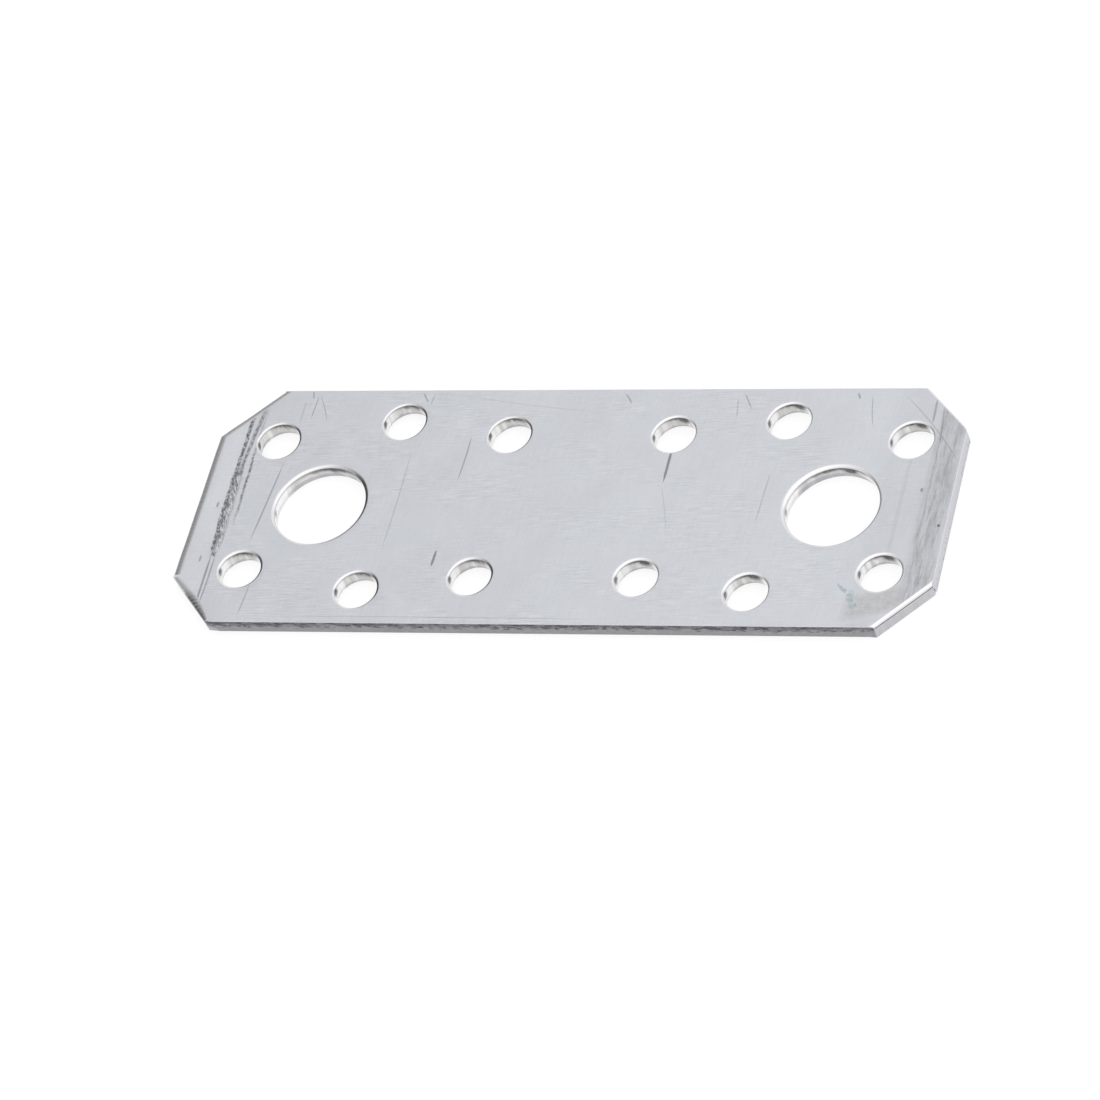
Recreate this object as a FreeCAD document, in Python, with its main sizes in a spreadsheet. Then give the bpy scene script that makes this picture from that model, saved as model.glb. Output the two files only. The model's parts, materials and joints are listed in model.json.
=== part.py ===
"""Mending plate: one flat piece of zinc-coated steel sheet with cut corners,
twelve small punched holes in a zigzag and two large punched holes on the long
middle line.

Frame: millimetres, +X along the plate, +Y across it, +Z up through the sheet.
The origin is the middle of the outline on the underside. The upper face is the
side that the punches entered, so its hole rims and outer edges are rolled over.
"""
import FreeCAD
import Part

import math
import os

import Sketcher

Vector = FreeCAD.Vector

# Driving dimensions, millimetres
SIZES = (
    # outline
    ("plate_length", 96.0, "over the two ends"),
    ("plate_width", 35.0, "over the two long edges"),
    ("sheet_thickness", 2.0, "coated sheet"),
    ("corner_cut_along", 6.4, "length that a corner cut takes off a long edge"),
    ("corner_cut_across", 6.9, "length that a corner cut takes off an end"),
    ("edge_roll", 0.2, "radius along the upper edges of the sides and ends"),
    ("corner_roll", 0.4, "radius along the upper edges of the corner cuts"),
    # hole pattern, as margins to the middles of the holes before the pattern is shifted
    ("pattern_offset", 0.9, "shift of all the holes towards +X, from where the strip was cut off"),
    ("outer_hole_to_end", 7.6, "outer small holes, from the end"),
    ("outer_hole_to_side", 7.8, "outer small holes, from the long edge"),
    ("middle_hole_to_end", 23.4, "second small holes, from the end"),
    ("middle_hole_to_side", 4.9, "second small holes, from the long edge"),
    ("inner_hole_to_end", 37.5, "inner small holes, from the end"),
    ("inner_hole_to_side", 6.9, "inner small holes, from the long edge"),
    ("bolt_hole_to_end", 15.5, "large holes, from the end"),
    # section of a punched hole, from the upper face down
    ("nail_hole_diameter", 5.3, "smooth band of a small hole"),
    ("bolt_hole_diameter", 11.5, "smooth band of a large hole"),
    ("nail_hole_roll_width", 0.35, "how far the rolled-over rim of a small hole spreads"),
    ("nail_hole_roll_depth", 0.16, "how far that rim is drawn down at the wall"),
    ("bolt_hole_roll_width", 0.45, "the same for a large hole"),
    ("bolt_hole_roll_depth", 0.2, "the same for a large hole"),
    ("smooth_depth", 1.3, "height of the smooth band that the punch leaves"),
    ("break_flare", 0.15, "radius that the broken band gains towards the underside"),
    ("cut_past", 1.0, "how far a cutting profile stands past each face"),
)

document = FreeCAD.newDocument("mending_plate")
sheet = document.addObject("Spreadsheet::Sheet", "sizes")
for row, (alias, value, meaning) in enumerate(SIZES, start=1):
    sheet.set(f"A{row}", alias)
    sheet.set(f"B{row}", str(value))
    sheet.set(f"C{row}", meaning)
    sheet.setAlias(f"B{row}", alias)
document.recompute()


def size(alias):
    """The value of one driving dimension."""
    return float(sheet.get(alias))


def origin_plane(body, role):
    """One of a body's own origin planes."""
    return next(item for item in body.Origin.OriginFeatures if item.Role == role)


def new_sketch(body, name, role):
    """A sketch that lies on one of the body's own origin planes."""
    sketch = body.newObject("Sketcher::SketchObject", name)
    sketch.AttachmentSupport = [(origin_plane(body, role), "")]
    sketch.MapMode = "FlatFace"
    return sketch


def bind(sketch, name, shares, kind, *places):
    """A named sketch dimension: a sum of sizes, each times its share."""
    value = sum(share * size(alias) for alias, share in shares.items())
    index = sketch.addConstraint(Sketcher.Constraint(kind, *places, value))
    sketch.renameConstraint(index, name)
    formula = " + ".join(f"{share} * sizes.{alias}" for alias, share in shares.items())
    sketch.setExpression(f"Constraints.{name}", formula)


def tie(sketch, kind, *places):
    """A sketch rule that has no size."""
    sketch.addConstraint(Sketcher.Constraint(kind, *places))


def close_loop(sketch, count):
    """Join the end of each edge to the start of the next one."""
    for edge in range(count):
        tie(sketch, "Coincident", edge, 2, (edge + 1) % count, 1)


# Names for the sketch's own origin point and its two axes, which are its elements -1 and -2
MIDDLE = (-1, 1)
AXIS = {letter: -number for number, letter in enumerate("xy", start=1)}


def outline_sketch(body):
    """The blank seen from above: a rectangle with its four corners cut."""
    half_length = size("plate_length") / 2
    half_width = size("plate_width") / 2
    flat_x = half_length - size("corner_cut_along")
    flat_y = half_width - size("corner_cut_across")
    corners = [(flat_x, half_width), (-flat_x, half_width), (-half_length, flat_y), (-half_length, -flat_y),
               (-flat_x, -half_width), (flat_x, -half_width), (half_length, -flat_y), (half_length, flat_y)]
    sketch = new_sketch(body, "blank_outline", "XY_Plane")
    sketch.setExpression("AttachmentOffset.Base.x", "-sizes.pattern_offset")
    for start, end in zip(corners, corners[1:] + corners[:1]):
        sketch.addGeometry(Part.LineSegment(Vector(*start, 0), Vector(*end, 0)))
    close_loop(sketch, len(corners))
    back, left, front, right = 0, 2, 4, 6
    for edge, axis in ((back, "y"), (front, "y"), (left, "x"), (right, "x")):
        tie(sketch, "Symmetric", edge, 1, edge, 2, AXIS[axis])
    tie(sketch, "Equal", back, front)
    tie(sketch, "Equal", right, left)
    bind(sketch, "side_flat", {"plate_length": 1, "corner_cut_along": -2}, "DistanceX", back, 2, back, 1)
    bind(sketch, "end_flat", {"plate_width": 1, "corner_cut_across": -2}, "DistanceY", right, 1, right, 2)
    bind(sketch, "back_reach", {"plate_width": 0.5}, "DistanceY", *MIDDLE, back, 1)
    bind(sketch, "front_reach", {"plate_width": 0.5}, "DistanceY", front, 1, *MIDDLE)
    bind(sketch, "right_reach", {"plate_length": 0.5}, "DistanceX", *MIDDLE, right, 1)
    bind(sketch, "left_reach", {"plate_length": 0.5}, "DistanceX", left, 1, *MIDDLE)
    return sketch


def upper_edges(feature, on_corner_cuts):
    """Names of the straight edges of the upper face, those on the corner cuts or the others."""
    top = size("sheet_thickness")
    near = 1e-6
    names = []
    for number, edge in enumerate(feature.Shape.Edges, start=1):
        ends = [vertex.Point for vertex in edge.Vertexes]
        if len(ends) != 2 or any(abs(point.z - top) > near for point in ends):
            continue
        run = ends[1] - ends[0]
        slanting = abs(run.x) > near and abs(run.y) > near
        if slanting == on_corner_cuts:
            names.append(f"Edge{number}")
    return names


def roll_edges(body, base, name, radius, on_corner_cuts):
    """Round the upper outer edges, as the shear draws them down."""
    rolled = body.newObject("PartDesign::Fillet", name)
    rolled.Base = (base, upper_edges(base, on_corner_cuts))
    rolled.setExpression("Radius", f"sizes.{radius}")
    document.recompute()
    return rolled


def punched_section(body, name, hole):
    """Half section of a punched hole, drawn beside its own upright axis.

    From the upper face down it has a rolled-over rim, which is an arc that leaves
    the face without a step and ends where it meets the wall, then the smooth band
    that the punch leaves, and the broken band that flares out to the underside.
    """
    top = size("sheet_thickness")
    past = size("cut_past")
    bore = size(f"{hole}_diameter") / 2
    width = size(f"{hole}_roll_width")
    depth = size(f"{hole}_roll_depth")
    radius = (width ** 2 + depth ** 2) / (2 * depth)
    rim = bore + width
    smooth_end = top - depth - size("smooth_depth")
    flared = bore + size("break_flare")
    sketch = new_sketch(body, name, "XZ_Plane")
    ceiling, drop, turn, wall, broken, below, floor = range(7)
    corners = [(0, top + past), (rim, top + past), (rim, top), (bore, top - depth), (bore, smooth_end),
               (flared, 0), (flared, -past), (0, -past)]
    for edge, (start, end) in enumerate(zip(corners, corners[1:] + corners[:1])):
        if edge == turn:
            circle = Part.Circle(Vector(rim, top - radius, 0), Vector(0, 0, 1), radius)
            sketch.addGeometry(Part.ArcOfCircle(circle, math.pi / 2, math.pi / 2 + math.asin(width / radius)))
        else:
            sketch.addGeometry(Part.LineSegment(Vector(*start, 0), Vector(*end, 0)))
    close_loop(sketch, len(corners))
    tie(sketch, "Horizontal", ceiling)
    tie(sketch, "Horizontal", floor)
    tie(sketch, "Vertical", drop)
    tie(sketch, "Vertical", wall)
    tie(sketch, "Vertical", below)
    tie(sketch, "Vertical", turn, 3, turn, 1)
    tie(sketch, "PointOnObject", ceiling, 1, AXIS["y"])
    tie(sketch, "PointOnObject", floor, 2, AXIS["y"])
    tie(sketch, "PointOnObject", broken, 2, AXIS["x"])
    bind(sketch, "bore", {f"{hole}_diameter": 0.5}, "DistanceX", *MIDDLE, wall, 1)
    bind(sketch, "rim", {f"{hole}_diameter": 0.5, f"{hole}_roll_width": 1}, "DistanceX", *MIDDLE, turn, 1)
    bind(sketch, "rim_height", {"sheet_thickness": 1}, "DistanceY", *MIDDLE, turn, 1)
    bind(sketch, "drawn_down", {f"{hole}_roll_depth": 1}, "DistanceY", turn, 2, turn, 1)
    bind(sketch, "smooth", {"smooth_depth": 1}, "DistanceY", wall, 2, wall, 1)
    bind(sketch, "flared", {f"{hole}_diameter": 0.5, "break_flare": 1}, "DistanceX", *MIDDLE, broken, 2)
    bind(sketch, "reach_up", {"sheet_thickness": 1, "cut_past": 1}, "DistanceY", *MIDDLE, ceiling, 1)
    bind(sketch, "reach_down", {"cut_past": 1}, "DistanceY", floor, 2, *MIDDLE)
    return sketch


def punch_hole(body, name, hole, place, on_middle_line=False):
    """Turn a hole's section about its axis and take it out of the plate."""
    sketch = punched_section(body, f"{name}_section", hole)
    sketch.setExpression("AttachmentOffset.Base.x", f"sizes.plate_length / 2 - sizes.{place}_to_end")
    if not on_middle_line:
        sketch.setExpression("AttachmentOffset.Base.z", f"sizes.{place}_to_side - sizes.plate_width / 2")
    document.recompute()
    before = body.Tip.Shape.Volume
    groove = body.newObject("PartDesign::Groove", name)
    groove.Profile = sketch
    groove.ReferenceAxis = (sketch, ["V_Axis"])
    groove.Angle = 360
    body.Tip = groove
    document.recompute()
    taken = before - groove.Shape.Volume
    if taken <= 0:
        raise ValueError(f"{name} cut nothing")
    print(f"{name} takes {taken:.1f} mm3")
    return groove


def mirror_step(body, name, role):
    """A mirror step about one of the body's upright origin planes."""
    step = body.newObject("PartDesign::Mirrored", name)
    step.MirrorPlane = (origin_plane(body, role), [""])
    return step


def make_plate():
    """The whole plate, drawn about the middle of its hole pattern."""
    body = document.addObject("PartDesign::Body", "mending_plate")
    body.Label = "mending_plate"
    outline = outline_sketch(body)
    blank = body.newObject("PartDesign::Pad", "blank")
    blank.Profile = outline
    blank.setExpression("Length", "sizes.sheet_thickness")
    document.recompute()
    corners = roll_edges(body, blank, "rolled_corner_cuts", "corner_roll", True)
    body.Tip = roll_edges(body, corners, "rolled_sides_and_ends", "edge_roll", False)

    # three small holes in one quarter, then mirrored across both middle planes
    nail_holes = [punch_hole(body, f"{place}_nail_hole", "nail_hole", f"{place}_hole")
                  for place in ("outer", "middle", "inner")]
    zigzag = body.newObject("PartDesign::MultiTransform", "zigzag_of_nail_holes")
    zigzag.Originals = nail_holes
    zigzag.Transformations = [mirror_step(body, "other_end", "YZ_Plane"), mirror_step(body, "other_side", "XZ_Plane")]
    body.Tip = zigzag
    document.recompute()

    bolt_hole = punch_hole(body, "bolt_hole", "bolt_hole", "bolt_hole", on_middle_line=True)
    bolt_holes = mirror_step(body, "both_bolt_holes", "YZ_Plane")
    bolt_holes.Originals = [bolt_hole]
    body.Tip = bolt_holes

    body.setExpression("Placement.Base.x", "sizes.pattern_offset")
    document.recompute()
    return body


plate = make_plate()

for item in document.Objects:
    if any(word in item.State for word in ("Invalid", "Error")):
        raise RuntimeError(f"{item.Name} failed: {item.State}")
shape = plate.Shape
if shape.isNull() or not shape.isValid() or len(shape.Solids) != 1:
    raise RuntimeError("mending_plate is not one valid solid")

box = shape.optimalBoundingBox()
print(f"mending_plate {box.XLength:.2f} x {box.YLength:.2f} x {box.ZLength:.2f} mm, "
      f"{shape.Volume:.0f} mm3, {len(shape.Faces)} faces")

os.makedirs("parts", exist_ok=True)
shape.exportStep(f"parts/{plate.Label}.step")
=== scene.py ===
# %% [markdown]
# # A galvanised mending plate
#
# The real thing is one flat piece of zinc-coated steel. A press cut it from a
# strip: punches took out the fourteen holes, cropped the four corners and
# parted it from the next plate. So it has only two kinds of surface, the flat
# faces of the sheet and the sheared rims where a punch went through. The lesson
# follows that. It draws one sheared rim, carries it round every hole and round
# the outline, fills the faces between the rims and then paints the zinc.

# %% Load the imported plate
import json

import bpy
import numpy as np
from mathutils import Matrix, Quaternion, Vector
from mathutils.geometry import delaunay_2d_cdt


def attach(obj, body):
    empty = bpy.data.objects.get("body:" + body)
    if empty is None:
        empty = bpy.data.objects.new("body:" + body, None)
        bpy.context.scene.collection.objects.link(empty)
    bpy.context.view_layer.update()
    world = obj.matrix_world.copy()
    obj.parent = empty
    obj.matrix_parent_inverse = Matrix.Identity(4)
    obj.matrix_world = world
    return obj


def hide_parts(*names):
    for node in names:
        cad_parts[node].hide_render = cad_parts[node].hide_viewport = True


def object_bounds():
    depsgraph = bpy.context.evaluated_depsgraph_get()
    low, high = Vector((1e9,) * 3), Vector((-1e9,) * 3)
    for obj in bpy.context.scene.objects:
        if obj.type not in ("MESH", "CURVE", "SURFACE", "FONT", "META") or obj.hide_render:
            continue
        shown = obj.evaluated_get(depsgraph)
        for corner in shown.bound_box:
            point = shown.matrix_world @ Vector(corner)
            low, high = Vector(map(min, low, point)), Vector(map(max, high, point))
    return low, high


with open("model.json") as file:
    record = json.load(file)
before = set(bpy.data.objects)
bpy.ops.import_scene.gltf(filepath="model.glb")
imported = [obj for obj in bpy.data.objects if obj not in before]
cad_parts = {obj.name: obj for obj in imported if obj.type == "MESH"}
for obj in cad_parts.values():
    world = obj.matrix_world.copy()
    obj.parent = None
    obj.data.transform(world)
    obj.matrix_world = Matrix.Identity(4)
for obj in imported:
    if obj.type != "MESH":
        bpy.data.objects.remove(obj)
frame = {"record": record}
cad_box = [list(corner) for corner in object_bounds()]
MM = 0.001
low, high = (np.array(corner) / MM for corner in cad_box)
thickness = high[2] - low[2]
print("plate box in mm:", low.round(2), high.round(2))

# %% [markdown]
# ## Where the holes are
#
# The holes could be typed in again, but then they could drift away from the
# solid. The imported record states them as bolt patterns, with the middle of each
# pattern, its spacings and its hole radius, so they are read from there. The
# smooth wall of each hole keeps exactly that radius.

# %% Read the holes from the record
def pattern_holes(mount):
    """One row per hole, (x, y, radius) in mm: the pattern's middle plus or minus half a spacing."""
    dims = mount["dims"]
    across = (-1, 1) if dims["count"] == 4 else (0,)
    signs = np.array([(a, b) for a in (-1, 1) for b in across])
    half = np.array([dims["spacing_x_mm"], dims.get("spacing_y_mm", 0)]) / 2
    middles = np.array(mount["pos_m"][:2]) / MM + signs * half
    return np.column_stack([middles, np.full(len(signs), dims["hole_r_mm"])])


patterns = [mount for mount in frame["record"]["mounts"] if mount["kind"] == "bolt_pattern"]
holes = np.vstack([pattern_holes(mount) for mount in patterns])
print(len(holes), "holes, radii", sorted(set(holes[:, 2].tolist())))

# %% [markdown]
# ## Paths to carry a rim along
#
# A rim needs a closed path with the metal on its left, and at each point a step
# that leads into the metal. For a hole that is a circle walked clockwise, with
# the step pointing away from its middle. For the outline it is a polygon with
# slightly rounded corners, walked anticlockwise. Its step can't be the plain
# normal, because the rolled-over rim is wider than the corner radius and would
# fold over itself. So a second, inner polygon is made whose sides have each
# moved in by their own rim width, both are cut into the same number of points,
# and the step leads from the outer point to the inner one.

# %% A hole's path
def hole_path(x, y, radius, count):
    """Points and steps on a circle: the middle plus radius times (cos, sin) of a falling angle."""
    angle = -2 * np.pi * np.arange(count) / count
    away = np.column_stack([np.cos(angle), np.sin(angle)])
    return np.array([x, y]) + radius * away, away


# %% The outline's path
def inset_corners(corners, widths):
    """Corners of the polygon whose side i, from corner i to the next, has moved in by widths[i].

    Each new corner solves two line equations: normal times point is the old value plus the width.
    """
    following = np.roll(corners, -1, axis=0)
    along = (following - corners) / np.linalg.norm(following - corners, axis=1, keepdims=True)
    inward = np.column_stack([-along[:, 1], along[:, 0]])
    reach = (inward * corners).sum(1) + widths
    pairs = np.stack([np.roll(inward, 1, axis=0), inward], axis=1)
    return np.linalg.solve(pairs, np.stack([np.roll(reach, 1), reach], axis=1)[..., None])[..., 0]


def rounded_polygon(corners, radii, side_counts, arc_count):
    """Points round a polygon: an arc at each corner and an even run along each side between arcs.

    An arc's middle lies radius to the left of both sides. Its points are that middle plus radius
    times a direction that turns from the first side's right hand to the second side's.
    """
    following = np.roll(corners, -1, axis=0)
    along = (following - corners) / np.linalg.norm(following - corners, axis=1, keepdims=True)
    before = np.roll(along, 1, axis=0)
    heading = np.arctan2(before[:, 1], before[:, 0])
    turn = (np.arctan2(along[:, 1], along[:, 0]) - heading) % (2 * np.pi)
    cut = radii * np.tan(turn / 2)
    left = np.column_stack([-before[:, 1], before[:, 0]])
    middles = corners - before * cut[:, None] + left * radii[:, None]
    runs = []
    for i, count in enumerate(side_counts):
        angle = heading[i] - np.pi / 2 + turn[i] * np.linspace(0, 1, arc_count)
        arc = middles[i] + radii[i] * np.column_stack([np.cos(angle), np.sin(angle)])
        nxt = (i + 1) % len(corners)
        share = (np.arange(1, count) / count)[:, None]
        start = corners[i] + along[i] * cut[i]
        end = corners[nxt] - along[i] * cut[nxt]
        runs += [arc, start + (end - start) * share]
    return np.vstack(runs)


# %% [markdown]
# ## The outline, side by side
#
# The CAD solid is the plate as it was meant to be, 96 by 35 mm with four equal
# corner cuts. The plate in the photo was cropped a little carelessly: its ends
# lean by about a degree and its corner cuts differ by up to 1.4 mm. Each
# corner is therefore given by how far it stands in from the plate's box, and
# each side by how the shear treated it: how wide and deep the upper edge was
# drawn down, how tall the smooth band under it is and how far the broken band
# below leans in. Each side also carries painted shade on its roll and in a line
# under it, and painted reflection on its wall.

# %% Corners and sides of the outline, anticlockwise from the front left
CORNERS = (
    # name, in from the end, in from the long side, rounding
    ("front_left", 6.09, 0, 0.25),
    ("front_right", 5.90, 0, 0.30),
    ("right_front", 0, 6.20, 0.30),
    ("right_back", 0.28, 6.10, 1.80),
    ("back_right", 6.30, 0, 0.35),
    ("back_left", 7.34, 0, 0.30),
    ("left_back", 0.50, 7.00, 0.25),
    ("left_front", 0, 6.74, 0.20),
)
FIELDS = "name width depth smooth lean roll_dirt line_dirt line_height shine".split()
SIDES = (
    # name, width and depth of the roll, smooth band, lean of the broken band, painted shade on the
    # roll, painted shade in the line under it, that line's height, painted reflection
    ("front", 0.06, 0.03, 0.75, 0.08, 0.8, 0.0, 0.10, 0.0),
    ("front_right_cut", 0.46, 0.36, 0.30, 0.06, 0.0, 1.0, 0.17, 0.4),
    ("right_end", 0.05, 0.02, 1.10, 0.04, 0.0, 0.0, 0.10, 0.0),
    ("back_right_cut", 0.18, 0.07, 1.10, 0.04, 0.0, 0.3, 0.10, 0.6),
    ("back", 0.10, 0.05, 0.75, 0.08, 0.3, 0.0, 0.10, 0.0),
    ("back_left_cut", 0.90, 0.27, 1.10, 0.04, 0.6, 0.8, 0.10, 0.0),
    ("left_end", 1.05, 0.34, 1.10, 0.04, 0.9, 0.8, 0.10, 0.0),
    ("front_left_cut", 0.85, 0.42, 0.60, 0.06, 2.4, 0.4, 0.10, 0.0),
)
sides = {field: np.array(column) for field, column in zip(FIELDS, zip(*SIDES))}
side_names = sides["name"].tolist()
OUTLINE_STEP = 0.16
ARC_POINTS = 9
INNER_ROUNDING = 0.12


def outline_corners():
    """Corner points in mm: each stands in from the box by its two insets, as its name says."""
    points = []
    for name, end_inset, side_inset, _ in CORNERS:
        x = high[0] - end_inset if "right" in name else low[0] + end_inset
        y = high[1] - side_inset if "back" in name else low[1] + side_inset
        points.append((x, y))
    return np.array(points)


corners = outline_corners()
side_lengths = np.linalg.norm(np.roll(corners, -1, axis=0) - corners, axis=1)
side_counts = np.maximum(2, np.round(side_lengths / OUTLINE_STEP)).astype(int)
widths = sides["width"]
outer_radii = np.array([rounding for *_, rounding in CORNERS])
outer = rounded_polygon(corners, outer_radii, side_counts, ARC_POINTS)
inner_radii = np.full(len(corners), INNER_ROUNDING)
inner = rounded_polygon(inset_corners(corners, widths), inner_radii, side_counts, ARC_POINTS)
print("sides in mm:", side_lengths.round(1), "outline points:", len(outer))

# %% [markdown]
# ## One sheared rim
#
# When a punch enters sheet metal it first draws the edge down, then cuts a
# smooth band, and then the rest breaks away along a ragged line and leaves a
# rough, slightly flared band. A bevel modifier would round every edge alike.
# Here the section is written as rows from the upper face to the underside, and
# numpy works out all the rows of all the points at once. Small ripples, made
# from whole waves round the loop so that the ends meet, keep any two holes from
# being twins.

# %% Ripples round a closed loop
def ripple(turn, slowest, fastest, rng, row=0.0):
    """A random ripple round a closed loop, with a spread of about 1.

    It is the sum of one cosine for each whole number of waves from slowest to fastest, each
    starting at its own place. row slides every wave by its own amount, so that lower rows differ
    a little.
    """
    waves = np.arange(slowest, fastest + 1)
    start = rng.random(len(waves))
    slide = rng.normal(size=len(waves))
    turn, row = np.broadcast_arrays(turn, row)
    angle = 2 * np.pi * (turn[..., None] * waves + start) + row[..., None] * slide
    return np.cos(angle).sum(-1) / np.sqrt(len(waves) / 2)


# %% The section of a rim
ROLL_ROWS = 9
SMOOTH_SHARES = np.array([0.05, 0.11, 0.20, 0.35, 0.60, 0.80, 1.00])
BROKEN_SHARES = np.array([0.02, 0.14, 0.28, 0.44, 0.62, 0.81, 1.00])
ROLLED, SMOOTH, BROKEN = range(3)
ROW_COUNTS = (ROLL_ROWS, len(SMOOTH_SHARES), len(BROKEN_SHARES))
ROW_KIND = np.repeat([ROLLED, SMOOTH, BROKEN], ROW_COUNTS)
TORN_BUMPS = 0.012
TOUCHING = 1e-6


def sheared_rim(path, step, width, depth, smooth, lean, finest, rng):
    """Rows of points for one rim in mm, and how far each point lies below the upper face.

    Roll: a quarter ellipse that leaves the face level and meets the wall upright, so the point
    stands in by width (1 - sin angle) and down by depth (1 - cos angle).
    Smooth band: straight down by smooth, to a wavy line.
    Broken band: leans in by lean as it goes down, with ripples that are largest in its middle.
    """
    turn = np.arange(len(path)) / len(path)
    angle = np.linspace(0, np.pi / 2, ROLL_ROWS)[:, None]
    share = SMOOTH_SHARES[:, None]
    torn = BROKEN_SHARES[:, None]
    bumps = 0.5 + ripple(turn[None, :], 2, finest, rng, 3 * torn)
    swell = 2 * np.sqrt(torn * (1 - torn))
    leaning = np.maximum(lean * torn + TORN_BUMPS * bumps * swell, 0)
    inward = [width * (1 - np.sin(angle)), 0 * (share + width), leaning]
    left = thickness - depth - smooth
    down = [depth * (1 - np.cos(angle)), depth + smooth * share, depth + smooth + left * torn]
    inward, down = np.vstack(inward), np.vstack(down)
    flat = path[None] + step[None] * inward[..., None]
    return np.dstack([flat, high[2] - down]), down


# %% [markdown]
# ## The unevenness of the flat faces
#
# Rolled sheet is never optically flat. A few long, shallow waves, a hundredth
# of a millimetre deep, are enough to make a reflection wander. They only ever
# go down from the upper face, so the mesh stays inside the solid's box.

# %% Shallow waves in the upper face
rng = np.random.default_rng(96035)
WAVE_COUNT, WAVE_HEIGHT = 14, 0.010
wave_lengths = rng.uniform(7, 30, WAVE_COUNT)
wave_ways = rng.uniform(0, np.pi, WAVE_COUNT)
wave_starts = rng.uniform(0, 2 * np.pi, WAVE_COUNT)


def face_dip(points):
    """How far the face lies below its box at each (x, y), in mm: a level plus plane waves."""
    ways = np.column_stack([np.cos(wave_ways), np.sin(wave_ways)])
    phase = points @ (ways * 2 * np.pi / wave_lengths[:, None]).T + wave_starts
    waves = np.cos(phase).sum(-1) / np.sqrt(WAVE_COUNT / 2)
    return np.maximum(WAVE_HEIGHT * (2 + waves), 0)


print("face dip at the middle of the plate:", face_dip(np.zeros((1, 2))).round(4), "mm")

# %% [markdown]
# ## Rims of the holes
#
# A punch rarely enters quite square, so the roll-over is wider on one side of a
# hole than on the other, and each hole has its own ripples. The walls aren't
# one even grey either, and their light and shade are painted. Under the
# roll-over runs a line of painted shade. It swells into a patch of painted shade
# on the back side of the hole, and there is a second small one across from it.
# The right side of the roll-over carries painted shade too. The rest of the wall
# is a painted reflection, nearly white. These are stored as two numbers per
# point, painted shade and painted reflection, which the material reads later.
# They need no picture, only the angle round the hole and the depth below the face.

# %% One hole's rim with its painted shade and painted reflection
HOLE_STEP = 0.17
LEAST_BOLT_RADIUS = 4
HOLE_SIZES = {
    # is it a bolt hole: width and depth of the roll, smooth band, height of the painted shade line,
    # half widths of the near and far painted shades in degrees, strength of the far one
    False: (0.30, 0.15, 1.30, 0.12, 13, 8, 1.0),
    True: (0.50, 0.25, 0.88, 0.14, 7, 5, 0.35),
}
HALF_SIZES = {
    # is it in the left half: how far the roll leans to one side, swell of the painted shade line,
    # strength of the near painted shade, painted shade on the right of the roll, painted reflection
    # behind on the right
    True: (0.08, 3.4, 0.6, 1.3, 0.7),
    False: (0.30, 2.2, 2.2, 0.3, 1.3),
}
FLARE = 0.20
NEAR_SHADE_HEIGHT = 0.80
FAR_SHADE_MIDDLE, FAR_SHADE_HEIGHT = 0.30, 0.42
# angles round a hole in degrees, anticlockwise from the right: one way, or a middle and half width
WIDEST_ROLL, NEAR_SHADE, FAR_SHADE = 150, 78, 184
SMALL_ROLL = (232, 36)
SHADED_SIDE_MIDDLE, SHADED_SIDE_HALF = 88, 42
RIGHT_ROLL_SHADE = (14, 55)
REFLECTION_BEHIND = (38, 20)
REFLECTION_LEFT, REFLECTION_FRONT_LEFT, REFLECTION_FRONT = (175, 34), (216, 24), (-60, 60)


def lobe(angle, middle, half):
    """A bump round a circle: exp(-(gap / half)²), with the gap in degrees the shorter way round."""
    gap = (np.degrees(angle) - middle + 180) % 360 - 180
    return np.exp(-((gap / half) ** 2))


def band_of(height, middle, half):
    """Nearly 1 within half of the middle and nearly 0 beyond: exp(-((height - middle) / half)⁴)."""
    return np.exp(-(((height - middle) / half) ** 4))


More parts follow.
